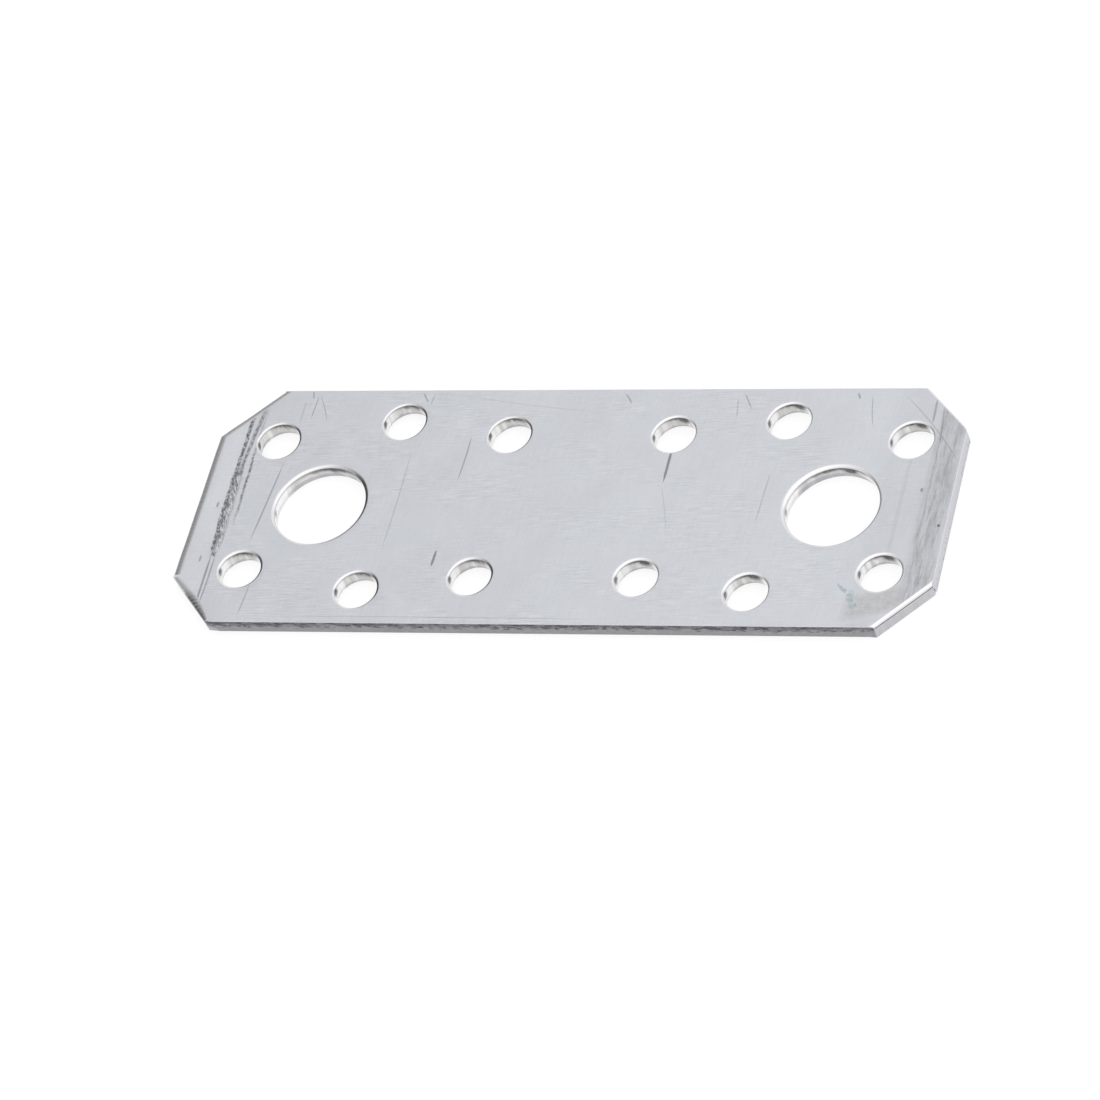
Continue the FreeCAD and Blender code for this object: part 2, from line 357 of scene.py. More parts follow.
def hole_rim(x, y, radius, rng):
    """A hole's rim with its painted shade and painted reflection, each from 0 to 1.

    The roll widens by a cosine towards the back left and is small at the front left.
    """
    is_bolt_hole, at_left = bool(radius > LEAST_BOLT_RADIUS), bool(x < 0)
    width, depth, band, line, near_half, far_half, far_strength = HOLE_SIZES[is_bolt_hole]
    one_sided, swell, near_strength, right_roll_shade, reflection_behind = HALF_SIZES[at_left]
    count = int(round(2 * np.pi * radius / HOLE_STEP))
    path, away = hole_path(x, y, radius, count)
    turn = np.arange(count) / count
    angle = -2 * np.pi * turn
    pressed_in = 1.1 if y < 0 else 0.9
    size = pressed_in + one_sided * np.cos(angle - np.radians(WIDEST_ROLL))
    size = size - 0.45 * lobe(angle, *SMALL_ROLL) + 0.05 * ripple(turn, 2, 9, rng)
    wavy = 0.06 * ripple(turn, 1, 4, rng) + 0.03 * ripple(turn, 8, count // 4, rng)
    width, depth, smooth = width * size, depth * size, band * (1 + wavy)
    rim, down = sheared_rim(path, away, width, depth, smooth, FLARE, count // 3, rng)

    # painted shade: a dark line under the roll, and patches near the side where it swells and
    # across from it
    below_roll = down - depth
    shaded_side = lobe(angle, SHADED_SIDE_MIDDLE + rng.normal(0, 4), SHADED_SIDE_HALF)
    line_height = line * (1 + swell * shaded_side * (1 + 0.25 * ripple(turn, 6, 30, rng)))
    shade_line = (0.25 + 0.75 * shaded_side) * band_of(below_roll, 0, line_height)
    near = near_strength * lobe(angle, NEAR_SHADE + rng.normal(0, 4), near_half)
    far = lobe(angle, FAR_SHADE + rng.normal(0, 3), far_half)
    far = far * rng.uniform(1.8, 3.4) * far_strength
    near_shade = near * band_of(below_roll, 0, NEAR_SHADE_HEIGHT)
    far_shade = far * band_of(below_roll, FAR_SHADE_MIDDLE, FAR_SHADE_HEIGHT)
    on_wall = np.maximum(np.maximum(shade_line, near_shade), far_shade) * (below_roll > -TOUCHING)

    # painted shade on the roll
    rolled = (ROW_KIND == ROLLED)[:, None]
    drawn_down = np.clip(down / depth, 0, 1)
    at_right = right_roll_shade * lobe(angle, *RIGHT_ROLL_SHADE)
    on_roll = np.maximum(at_right * drawn_down**0.12, 0.4 * far * drawn_down) * rolled

    # painted reflection on the walls, dimmer in the hole at the back left corner
    painted_reflection_mix = 1.3 * lobe(angle, *REFLECTION_LEFT) + lobe(angle, *REFLECTION_FRONT_LEFT)
    painted_reflection_mix = painted_reflection_mix + 0.3 * lobe(angle, *REFLECTION_FRONT) + reflection_behind * lobe(angle, *REFLECTION_BEHIND)
    if x == holes[:, 0].min() and y > 0:
        painted_reflection_mix = painted_reflection_mix * 0.4
    shine = np.clip(painted_reflection_mix + 0.25 * ripple(turn, 3, 20, rng), 0, 1) * ~rolled
    return rim, np.clip(np.maximum(on_wall, on_roll), 0, 1), shine


rims = [hole_rim(*hole, rng) for hole in holes]
points_round = sum(rim.shape[1] for rim, dirt, shine in rims)
print("rims of holes:", len(rims), "with", points_round, "points round")

# %% [markdown]
# ## Rim of the outline
#
# The outline was sheared side by side, so its rim changes at each corner. A
# moving average blends the values across, as the metal does. Where the front
# left corner was cropped the shear was blunt: it dragged the edge down in a
# long hollow, deepest half-way along.

# %% The outline's rim
def blended(values, reach):
    """The mean of each value and its neighbours to both sides, round the loop."""
    padded = np.concatenate([values[-reach:], values, values[:reach]])
    return np.convolve(padded, np.ones(2 * reach + 1) / (2 * reach + 1), mode="valid")


CORNER_BLEND = 3
BLUNT_SIDE = side_names.index("front_left_cut")
FINEST_WAVE = 500


def outline_rim(rng):
    """The outline's rim, and which side each point lies on. Two sides share a corner's arc."""
    per_side = side_counts - 1 + ARC_POINTS
    run_of = np.repeat(np.arange(len(SIDES)), per_side)
    side_of = np.roll(run_of, ARC_POINTS // 2)
    names = ("depth", "smooth", "lean", "roll_dirt", "line_dirt", "line_height", "shine")
    depth, smooth, lean, roll_dirt, line_dirt, line_height, shine = (
        blended(sides[name][side_of], CORNER_BLEND) for name in names
    )
    turn = np.arange(len(outer)) / len(outer)
    along = np.concatenate([np.linspace(0, 1, n) for n in per_side])
    blunt = run_of == BLUNT_SIDE
    hollow = np.where(blunt, 0.35 + 0.85 * np.sin(np.pi * along) ** 0.7, 1)
    depth = depth * (1 + 0.06 * ripple(turn, 4, 60, rng)) * hollow
    wavy = 0.06 * ripple(turn, 3, 40, rng) + 0.10 * ripple(turn, 60, FINEST_WAVE, rng)
    smooth = smooth * (1 + wavy)
    width = widths[run_of]
    step = (inner - outer) / width[:, None]
    width = width * hollow
    rim, down = sheared_rim(outer, step, width, depth, smooth, lean, FINEST_WAVE, rng)

    # painted shade in hatches down the roll, which starts fainter on the blunt side, and in a line
    # under it
    rolled = (ROW_KIND == ROLLED)[:, None]
    fainter_start = np.where(blunt, np.clip((along - 0.35) / 0.2, 0.15, 1), 1)
    hatch = (1 + 0.18 * ripple(turn, 300, 700, rng)) * fainter_start
    drawn_down = np.clip(down / depth, 0, 1)
    on_roll = roll_dirt * hatch * (0.35 * drawn_down**0.3 + 0.65 * drawn_down**3) * rolled
    below_roll = down - depth
    line = line_dirt * np.exp(-((below_roll / line_height) ** 2)) * (below_roll > -TOUCHING)
    # painted reflection on the walls of some sides
    shine = shine * (1 + 0.1 * ripple(turn, 20, 200, rng)) * ~rolled
    return (rim, np.clip(np.maximum(line, on_roll), 0, 1), np.clip(shine, 0, 1)), side_of


outline, side_of = outline_rim(rng)
rims.append(outline)
print("rim points in all:", sum(rim.shape[0] * rim.shape[1] for rim, dirt, shine in rims))

# %% [markdown]
# ## Fill the faces
#
# The flat faces have holes in them, so they aren't a simple grid. A staggered
# grid of points is laid over the plate, those too near a rim are dropped, and a
# constrained Delaunay triangulation joins the rest to the rims. It keeps every
# rim edge. Triangles whose three corners all lie on one hole's rim are what
# fills that hole, so they are thrown away.

# %% Staggered grids and their triangles
CLEARANCE = 0.75


def staggered_grid(spacing, loops):
    """Grid points inside the last loop and outside the others, CLEARANCE spacings from each."""
    rows = np.arange(low[1], high[1], spacing * np.sqrt(3) / 2)
    columns = np.arange(low[0], high[0], spacing)
    x, y = np.meshgrid(columns, rows)
    x = x + (np.arange(len(rows)) % 2)[:, None] * spacing / 2
    points = np.column_stack([x.ravel(), y.ravel()])
    clear = CLEARANCE * spacing
    keep = np.ones(len(points), bool)
    for (hx, hy, _), loop in zip(holes, loops):
        reach = np.hypot(*(loop - (hx, hy)).T).max()
        keep &= np.hypot(points[:, 0] - hx, points[:, 1] - hy) > reach + clear
    edge_corners = inset_corners(corners, widths + clear)
    along = np.roll(edge_corners, -1, axis=0) - edge_corners
    inward = np.column_stack([-along[:, 1], along[:, 0]])
    for corner, way in zip(edge_corners, inward):
        keep &= (points - corner) @ way > 0
    return points[keep]


INSIDE_EDGES_ONLY = 1
MERGE_DISTANCE = 1e-7
NO_LOOP = -1


def loop_edges(start, count):
    """Pairs of neighbouring points round a loop whose first point has the number start."""
    return start + np.column_stack([np.arange(count), np.roll(np.arange(count), -1)])


def fill(loops, spacing):
    """The free points over the face between the loops, and triangles that count the loops first."""
    sizes = [len(loop) for loop in loops]
    free = staggered_grid(spacing, loops)
    points = np.vstack([*loops, free])
    starts = np.cumsum([0, *sizes[:-1]])
    edges = np.vstack([loop_edges(start, size) for start, size in zip(starts, sizes)]).tolist()
    vectors = [Vector(point) for point in points]
    made = delaunay_2d_cdt(vectors, edges, [], INSIDE_EDGES_ONLY, MERGE_DISTANCE)
    if len(made[0]) != len(points):
        raise ValueError("the triangulation merged or added points")
    triangles = np.array(made[2])
    owner = np.repeat([*range(len(loops)), NO_LOOP], [*sizes, len(free)])[triangles]
    first, second, third = owner.T
    fills_hole = (first == second) & (first == third) & (first != NO_LOOP) & (first < len(holes))
    triangles = triangles[~fills_hole]
    a, b, c = points[triangles].transpose(1, 0, 2)
    area = (b - a)[:, 0] * (c - a)[:, 1] - (b - a)[:, 1] * (c - a)[:, 0]
    triangles[area < 0] = triangles[area < 0][:, ::-1]
    return free, triangles


TOP_SPACING, UNDER_SPACING = 0.55, 1.1
top_free, top_triangles = fill([rim[0, :, :2] for rim, dirt, shine in rims], TOP_SPACING)
under_free, under_triangles = fill([rim[-1, :, :2] for rim, dirt, shine in rims], UNDER_SPACING)
print("upper face:", len(top_triangles), "triangles, underside:", len(under_triangles))

# %% [markdown]
# ## Join rims and faces into one closed mesh
#
# Rims and faces share their points, so no edge is open and nothing has to be
# merged afterwards. Each point also carries what it belongs to, as attributes
# that the material can read: rolled, wall or torn, its painted shade and painted
# reflection, and whether it lies on one of the two long sides, which were slit
# from the coil before the rest was punched.

# %% Build the plate's mesh
MARKS = ("rolled", "wall", "torn", "slit", "dirt", "shine")
LONG_SIDES = (side_names.index("front"), side_names.index("back"))


def rim_quads(rows, count, start):
    """Four-sided faces between neighbouring points and rows, wound to face out of the metal."""
    row, column = np.meshgrid(np.arange(rows - 1), np.arange(count), indexing="ij")
    following = (column + 1) % count
    upper, lower = start + row * count, start + (row + 1) * count
    quads = [upper + column, lower + column, lower + following, upper + following]
    return np.stack(quads, -1).reshape(-1, 4)


def rim_marks(dirt, shine, slit):
    """The marks of a rim's points. The outermost row belongs to the face, so it is not rolled."""
    rolled = (ROW_KIND == ROLLED).astype(float)
    rolled[0] = 0
    wall = (ROW_KIND != ROLLED).astype(float)
    torn = (ROW_KIND == BROKEN).astype(float)
    by_row = [np.broadcast_to(values[:, None], dirt.shape) for values in (rolled, wall, torn)]
    marks = [*by_row, np.broadcast_to(slit, dirt.shape), dirt, shine]
    return np.stack(marks, -1).reshape(-1, len(MARKS))


def mesh_parts():
    """Points in mm, four-sided faces, triangles and the marks of each point."""
    points, quads, marks, top_ids, under_ids = [], [], [], [], []
    start = 0
    for rim, dirt, shine in rims:
        rows, count = dirt.shape
        slit = np.isin(side_of, LONG_SIDES) if rim is outline[0] else np.zeros(count)
        block = rim.copy()
        fade = np.linspace(1, 0, rows)[:, None]
        block[..., 2] -= face_dip(rim[0, :, :2]) * fade
        points.append(block.reshape(-1, 3))
        quads.append(rim_quads(rows, count, start))
        marks.append(rim_marks(dirt, shine, slit))
        top_ids.append(start + np.arange(count))
        under_ids.append(start + (rows - 1) * count + np.arange(count))
        start += rows * count
    top_heights = high[2] - face_dip(top_free)
    under_heights = np.full(len(under_free), low[2])
    for free, heights in ((top_free, top_heights), (under_free, under_heights)):
        points.append(np.column_stack([free, heights]))
        marks.append(np.zeros((len(free), len(MARKS))))
    top_ids = np.concatenate([*top_ids, start + np.arange(len(top_free))])
    under_ids = np.concatenate([*under_ids, start + len(top_free) + np.arange(len(under_free))])
    triangles = np.vstack([top_ids[top_triangles], under_ids[under_triangles][:, ::-1]])
    return np.vstack(points), np.vstack(quads), triangles, np.vstack(marks)


def make_mesh(name, points, quads, triangles):
    """A mesh from whole arrays: points, then four-sided faces, then triangles."""
    mesh = bpy.data.meshes.new(name)
    mesh.vertices.add(len(points))
    mesh.vertices.foreach_set("co", (points * MM).astype(np.float32).ravel())
    corner_ids = np.concatenate([quads.ravel(), triangles.ravel()]).astype(np.int32)
    sizes = np.repeat([4, 3], [len(quads), len(triangles)])
    mesh.loops.add(len(corner_ids))
    mesh.loops.foreach_set("vertex_index", corner_ids)
    mesh.polygons.add(len(sizes))
    mesh.polygons.foreach_set("loop_start", (np.cumsum(sizes) - sizes).astype(np.int32))
    mesh.update(calc_edges=True)
    mesh.validate()
    return mesh


points, quads, triangles, marks = mesh_parts()
plate_mesh = make_mesh("punched_plate", points, quads, triangles)
for name, values in zip(MARKS, marks.T):
    attribute = plate_mesh.attributes.new(name, "FLOAT", "POINT")
    attribute.data.foreach_set("value", values.astype(np.float32))
SHARP_ANGLE = np.radians(35)
plate_mesh.shade_smooth()
plate_mesh.set_sharp_from_angle(angle=SHARP_ANGLE)
plate = bpy.data.objects.new("punched_plate", plate_mesh)
bpy.context.scene.collection.objects.link(plate)
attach(plate, "root")
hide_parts("mending_plate")
print("plate:", len(plate_mesh.vertices), "points,", 2 * len(quads) + len(triangles), "triangles")

# %% [markdown]
# ## Shader maths as Python expressions
#
# A material is a sheet of sums: this mask times that noise, one minus the
# other. Laid out by hand it is a hundred boxes and wires. This small class
# wraps one output of a node, and adding, subtracting or multiplying it adds the
# Math node that does so, so the material below can be read like a formula.

# %% A value in a node tree
class Value:
    """One output of a node. Arithmetic on it adds Math nodes to the same tree."""

    def __init__(self, nodes, socket):
        self.nodes, self.socket = nodes, socket

    def math(self, operation, *others, clamp=False):
        """A Math node with this value first and the others after it."""
        settings = {"operation": operation, "use_clamp": clamp}
        return self.nodes.add("ShaderNodeMath", settings, dict(enumerate((self, *others))))

    def __add__(self, other):
        return self.math("ADD", other)

    def __mul__(self, other):
        return self.math("MULTIPLY", other)

    def __sub__(self, other):
        return self.math("SUBTRACT", other)

    def __rsub__(self, other):
        return self.nodes.add("ShaderNodeMath", {"operation": "SUBTRACT"}, {0: other, 1: self})

    def __abs__(self):
        return self.math("ABSOLUTE")

    __radd__ = __add__
    __rmul__ = __mul__

    def clipped(self):
        """The value kept between 0 and 1."""
        return self.math("ADD", 0.0, clamp=True)

    def most(self, other):
        """The larger of two values."""
        return self.math("MAXIMUM", other)

    def rise(self, start, end):
        """0 up to start, 1 from end, with a soft S between them. start above end makes it fall."""
        if start > end:
            return 1 - self.rise(end, start)
        settings = {"interpolation_type": "SMOOTHSTEP"}
        inputs = {0: self, 1: start, 2: end, 3: 0.0, 4: 1.0}
        return self.nodes.add("ShaderNodeMapRange", settings, inputs)


class Nodes:
    """The node tree of one material or world."""

    def __init__(self, owner):
        owner.use_nodes = True
        self.tree = owner.node_tree
        self.tree.nodes.clear()

    def add(self, kind, settings=None, inputs=None, output=0):
        """A node of that kind, with its settings first and then numbers or links on its sockets."""
        node = self.tree.nodes.new(kind)
        for name, value in (settings or {}).items():
            setattr(node, name, value)
        for key, value in (inputs or {}).items():
            if isinstance(value, Value):
                self.tree.links.new(value.socket, node.inputs[key])
            else:
                node.inputs[key].default_value = value
        return Value(self, node.outputs[output]) if node.outputs else None

    def vector(self, operation, *vectors, output=0):
        """A Vector Math node."""
        inputs = dict(enumerate(vectors))
        return self.add("ShaderNodeVectorMath", {"operation": operation}, inputs, output)

    def dot(self, vector, constant):
        """How far a vector reaches along a constant one: the sum of the products of their parts."""
        return self.vector("DOT_PRODUCT", vector, constant, output="Value")

    def noise(self, vector, scale, detail=2.0, roughness=0.5):
        """Smooth noise about 0.5."""
        inputs = {"Vector": vector, "Scale": scale, "Detail": detail, "Roughness": roughness}
        return self.add("ShaderNodeTexNoise", None, inputs)

    def mark(self, name):
        """One of the mesh's own attributes."""
        return self.add("ShaderNodeAttribute", {"attribute_name": name}, output="Fac")

    def mixed(self, factor, first, second):
        """A colour between two colours."""
        inputs = {0: factor, 6: first, 7: second}
        return self.add("ShaderNodeMix", {"data_type": "RGBA"}, inputs, output=2)


# %% [markdown]
# ## Scratches
#
# A scratch is a thin line, pointed at both ends and seldom quite straight.
# Painting one needs no image. Along the line a number runs from -1 to 1, across
# it another gives the distance, and the scratch is where that distance is less
# than a width that shrinks towards both ends. Positions are in millimetres on
# the plate, read off one by one.

# %% One scratch
SCRATCH_SOFTNESS = 0.08


def scratch(nodes, place, start, end, width, bow=0.0):
    """1 inside a thin line from start to end, 0 outside.

    u runs from -1 to 1 along the line and v gives the distance across it. The belly 1 - u² makes
    the bow and the pointed ends. With t = |v - bow belly| / width the value is
    (min(3 belly - t, 1) - t + 0.6) width / softness, kept between 0 and 1.
    """
    start, end = np.array(start, float), np.array(end, float)
    length = np.hypot(*(end - start))
    along = (end - start) / length
    across = np.array([-along[1], along[0]])
    middle = (start + end) / 2
    u = nodes.dot(place, (*(along * 2 / length), 0)) - float(middle @ along * 2 / length)
    v = nodes.dot(place, (*across, 0)) - float(middle @ across)
    belly = 1 - u * u
    if bow:
        v = v - belly * bow
    off_line = abs(v) * (1 / width)
    inside = (belly * 3 - off_line).math("MINIMUM", 1.0) - off_line + 0.6
    return (inside * (width / SCRATCH_SOFTNESS)).clipped()


# %% Where the scratches are
SCRATCHES = (
    # start, end, half width, bow, darkness
    ((-36.0, 16.7), (-36.2, 13.2), 0.07, 0.0, 0.40),
    ((-35.8, 16.7), (-34.0, 12.8), 0.06, 0.1, 0.35),
    ((-36.9, 17.4), (-36.6, 16.2), 0.08, 0.0, 0.40),
    ((-37.5, 15.9), (-37.5, 12.5), 0.08, 0.0, 0.20),
    ((-38.0, 6.4), (-39.3, -5.5), 0.09, 0.0, 0.40),
    ((-37.6, -11.8), (-38.0, -16.5), 0.07, 0.0, 0.35),
    ((-21.7, 8.0), (-21.9, -7.4), 0.07, 0.10, 0.24),
    ((-22.3, 17.0), (-21.4, 15.6), 0.09, 0.0, 0.35),
    ((-20.8, 16.7), (-21.0, 15.2), 0.07, 0.0, 0.30),
    ((-14.5, 10.6), (-14.7, 3.6), 0.08, 0.1, 0.42),
    ((-14.8, -6.7), (-14.9, -9.1), 0.13, 0.0, 0.60),
    ((-17.8, 16.8), (0.7, 14.1), 0.07, -0.2, 0.13),
    ((3.8, 16.8), (4.9, 15.3), 0.09, 0.1, 0.35),
    ((11.6, 8.6), (11.6, 3.5), 0.13, 0.0, 0.60),
    ((11.4, 3.2), (13.6, -4.0), 0.06, 0.12, 0.18),
    ((18.3, 16.0), (18.7, 13.2), 0.07, 0.0, 0.30),
    ((19.0, 16.8), (20.3, 14.5), 0.07, 0.0, 0.40),
    ((24.7, 5.0), (24.4, -2.8), 0.07, 0.0, 0.25),
    ((33.2, 16.8), (33.6, 15.9), 0.10, 0.0, 0.40),
    ((35.1, 16.4), (36.0, 11.8), 0.07, -0.1, 0.30),
    ((39.0, 16.6), (47.8, 6.2), 0.06, 0.35, 0.30),
    ((43.2, 15.9), (43.3, 12.2), 0.11, 0.0, 0.38),
    ((44.3, 14.6), (44.8, 9.0), 0.09, 0.0, 0.32),
    ((-32.0, -16.6), (8.0, -16.7), 0.06, 0.1, 0.25),
    ((-43.8, -7.6), (-43.9, -15.6), 0.11, 0.0, 0.50),
    ((-43.3, -7.6), (-43.5, -15.2), 0.09, 0.1, 0.42),
    ((-42.6, 13.9), (-43.2, 7.6), 0.06, 0.1, 0.40),
    ((-42.0, 15.0), (-42.3, 10.8), 0.06, 0.0, 0.30),
    ((-45.0, 0.5), (-45.0, -0.4), 0.12, 0.0, 0.45),
    ((-45.1, -7.6), (-45.1, -8.6), 0.12, 0.0, 0.40),
    ((47.0, -2.6), (47.05, -3.0), 0.14, 0.0, 0.70),
    ((43.9, 2.7), (43.95, 2.1), 0.12, 0.0, 0.50),
)
print(len(SCRATCHES), "scratches")

# %% [markdown]
# ## Scuffed ends
#
# Both ends have rubbed against something hard: the left one carries rough lines
# that meet, the right one broad soft streaks, and both run across the plate.
# Noise that is squeezed along the plate and stretched across it gives such
# streaks, and a soft window keeps them where they belong. Inside the left scuff
# the zinc is torn up in short slanting flecks, so there the noise is turned and
# also lifts and dents the surface.

# %% Streaks and soft patches
def window(value, middle, half, soft):
    """1 within half of the middle, falling to 0 over soft."""
    return abs(value - middle).rise(half + soft, half)


def turned(nodes, place, degrees, along, across):
    """Coordinates turned by some degrees, then scaled by along and by across."""
    c, s = np.cos(np.radians(degrees)), np.sin(np.radians(degrees))
    first = nodes.dot(place, (c * along, s * along, 0))
    second = nodes.dot(place, (-s * across, c * across, 0))
    return nodes.add("ShaderNodeCombineXYZ", None, {"X": first, "Y": second, "Z": 0.0})


def drawn_noise(nodes, place, degrees, along, across, detail=2.0, roughness=0.5):
    """Noise about 0.5 in turned coordinates: the smaller scale is the way it is drawn out."""
    return nodes.noise(turned(nodes, place, degrees, along, across), 1.0, detail, roughness)


PATCHES = {
    # middle, half width and soft border in mm, first along the plate, then across it
    "first scuff line": (-43.75, 0.14, 0.20, 3.8, 10.2, 1.2),
    "second scuff line": (-43.85, 0.13, 0.24, 10.5, 4.5, 3.0),
    "third scuff line": (-42.15, 0.07, 0.17, 3.8, 1.5, 5.0),
    "third scuff line, long": (-42.15, 0.07, 0.17, 5.0, 6.0, 3.0),
    "scuff border": (-42.95, 0.06, 0.15, -0.8, 4.5, 2.0),
    "flecks": (-43.50, 0.38, 0.22, -0.3, 4.8, 3.5),
    "knot": (-43.5, 0.2, 0.4, -7.4, 0.2, 0.4),
    "blotch": (46.1, 0.15, 0.55, 6.0, 2.0, 3.0),
    "long line": (44.8, 0.05, 0.22, 0.5, 12.5, 1.5),
    "faint line": (41.7, 0.10, 0.40, 0.5, 6.0, 3.0),
    "blue drop": (38.3, 0.15, 0.5, -13.0, 0.3, 0.9),
    "brown": (41.4, 2.5, 1.6, -24.4, 1.0, 1.2),
}
FLECK_CORE = (-43.70, 0.16, 0.30)


def patch(x, y, name):
    """1 inside the named patch, falling to 0 over its soft borders."""
    return window(x, *PATCHES[name][:3]) * window(y, *PATCHES[name][3:])


# %% The left scuff
def left_scuff(nodes, place, x, y):
    """How dark, how bright and how raised the left scuff is.

    Rough lines meet in it, and between them lie flecks whose noise also lifts and dents the zinc.
    """
    rough_x = x + (drawn_noise(nodes, place, 0, 0.2, 0.6, 3.0) - 0.5) * 0.5
    bowed_x = rough_x + window(y, 0.0, 2.0, 8.0) * 0.25
    leaning_x = rough_x + y * -0.095
    worn = drawn_noise(nodes, place, 0, 3.0, 2.2, 3.0, 0.7).rise(0.40, 0.56)
    third = patch(rough_x, y, "third scuff line") * 0.5
    third = third + patch(rough_x, y, "third scuff line, long") * 0.4
    lines = patch(bowed_x, y, "first scuff line")
    lines = lines.most(patch(leaning_x, y, "second scuff line") * 0.8).most(third)
    lines = lines.most(patch(rough_x, y, "scuff border") * 0.4) * (worn * 0.7 + 0.3)

    patchy = drawn_noise(nodes, place, 0, 1.2, 0.7).rise(0.38, 0.58)
    flecks = drawn_noise(nodes, place, 110, 1.1, 4.4, 5.0, 0.8)
    zone = patch(rough_x, y, "flecks")
    darkest = (flecks + window(rough_x, *FLECK_CORE) * 0.05).rise(0.48, 0.545)
    knot = patch(x, y, "knot")
    dark = lines.most(darkest * zone * (patchy * 0.40 + 0.50)).most(knot * flecks.rise(0.45, 0.6))
    torn_up = zone.most(knot)
    return dark, flecks.rise(0.46, 0.38) * torn_up, (flecks - 0.5) * torn_up * 2


# %% The rubbed right end
def right_rub(nodes, place, x, y):
    """How dark the right end is: an even greyness, with streaks drawn out across the plate."""
    wander = (drawn_noise(nodes, place, 0, 0.1, 0.35, 3.0) - 0.5) * 0.7
    end_fade = x.rise(48.2, 46.9)
    band = (x + wander * 1.6).rise(43.8, 45.0) * end_fade
    greyness = (x.rise(37.0, 40.0) * 0.07 + x.rise(43.4, 45.2) * 0.10) * end_fade
    broad = drawn_noise(nodes, place, 0.5, 1.3, 0.16, 4.0, 0.7).rise(0.40, 0.68)
    fine = drawn_noise(nodes, place, 0.5, 4.5, 0.50, 4.0, 0.75).rise(0.47, 0.68)
    streaks = band * (broad * 0.30 + fine * 0.26) + greyness
    blotch = patch(x, y, "blotch") * (broad * 0.25 + 0.25)
    long_line = patch(x + y * 0.012 + wander, y, "long line") * (fine * 0.40 + 0.34)
    faint_line = patch(x + wander * 0.5, y, "faint line") * 0.16
    return streaks.most(blotch).most(long_line).most(faint_line)


# %% The stain near the front right
STAIN_STREAKS = (
    # start, end, half width, bow
    ((36.4, -11.2), (38.7, -13.1), 0.16, -0.15),
    ((37.6, -12.0), (39.0, -15.3), 0.20, 0.20),
    ((38.3, -13.6), (39.6, -14.6), 0.13, 0.0),
)


def stain(nodes, place, x, y):
    """A dried stain: a few bluish runs with ragged edges, and a soft brownish area beside them."""
    ragged = nodes.noise(place, 1.6, 4.0, 0.7)
    runs = patch(x, y, "blue drop") * 0.8
    for start, end, width, bow in STAIN_STREAKS:
        runs = runs.most(scratch(nodes, place, start, end, width, bow))
    brown = patch(x, y + x * -0.25, "brown")
    return runs * ragged.rise(0.36, 0.58), brown * (ragged.rise(0.34, 0.66) * 0.6 + 0.4)


# %% The zinc finish
LILAC_ZINC = (0.652, 0.658, 0.704, 1.0)
GREEN_ZINC = (0.643, 0.664, 0.697, 1.0)
DARK_COLOUR = (0.09, 0.09, 0.10, 1.0)
RUB_COLOUR = (0.19, 0.182, 0.185, 1.0)
BROWN_COLOUR = (0.42, 0.395, 0.37, 1.0)
BLUE_COLOUR = (0.31, 0.41, 0.48, 1.0)
BRIGHT_COLOUR = (0.95, 0.95, 0.95, 1.0)
# painted highlight: the rolled edges are lighter than the face so that they render white
ROLLED_HIGHLIGHT_COLOUR = (0.76, 0.76, 0.78, 1.0)
WALL_COLOUR = (0.60, 0.59, 0.57, 1.0)
END_WALL_COLOUR = (0.61, 0.61, 0.65, 1.0)
# painted reflection on the walls
REFLECTION_WALL_COLOUR = (0.94, 0.94, 0.94, 1.0)
TORN_COLOUR = (0.48, 0.47, 0.52, 1.0)
# painted shade on the rims: dark lines, patches and rolled edges
PAINTED_SHADE_COLOUR = (0.060, 0.056, 0.060, 1.0)
# painted shade in the upper band of the long sides
SLIT_UPPER_SHADE_COLOUR = (0.075, 0.07, 0.085, 1.0)
SLIT_LOWER_COLOUR = (0.35, 0.345, 0.365, 1.0)
ROLLING_ANGLE, CROSSING_ANGLE, SPOT_ANGLE = 3.0, -6.0, 35
BUMP_HEIGHT = 0.010


def wall_noise(nodes, place, scales, detail, roughness):
    """Noise about 0.5 with its own scale along each axis."""
    return nodes.noise(nodes.vector("MULTIPLY", place, scales), 1.0, detail, roughness)


def wall_finish(nodes, place, x, z, torn, slit, shine):
    """The colour of the sheared walls with their painted reflection, their upright striations, and
    the ragged slit edges with painted shade in their upper band.
    """
    striation = wall_noise(nodes, place, (4.0, 4.0, 0.25), 3.0, 0.7) - 0.5
    painted_reflection_mix = (shine + striation * 1.2).clipped()
    colour = nodes.mixed(painted_reflection_mix, WALL_COLOUR, REFLECTION_WALL_COLOUR)
    colour = nodes.mixed(torn * (0.85 - shine * 0.65), colour, TORN_COLOUR)

    # the long sides: painted shade, a dark upper band with a ragged border, smeared here and there
    ragged = wall_noise(nodes, place, (1.1, 1.1, 1.8), 5.0, 0.8) - 0.5
    black = wall_noise(nodes, place, (0.45, 0.45, 1.6), 4.0, 0.7).rise(0.42, 0.58)
    smeared = wall_noise(nodes, place, (1.3, 1.3, 5.0), 5.0, 0.75).rise(0.46, 0.62)
    upper = (z + ragged * 3.4).rise(0.92, 1.38)
    slit_shade = upper * (black * 0.45 + 0.55)
    slit_colour = nodes.mixed(slit_shade, SLIT_LOWER_COLOUR, SLIT_UPPER_SHADE_COLOUR)
    slit_colour = nodes.mixed(smeared * 0.22, slit_colour, WALL_COLOUR)
    colour = nodes.mixed(slit, colour, slit_colour)
    return nodes.mixed(x.rise(47.3, 47.6), colour, END_WALL_COLOUR), striation, ragged


def all_scratches(nodes, place):
    """How dark the scratches are: the most of them all at each place."""
    cut = None
    for start, end, width, bow, darkness in SCRATCHES:
        one = scratch(nodes, place, start, end, width, bow) * darkness
        cut = one if cut is None else cut.most(one)
    return cut


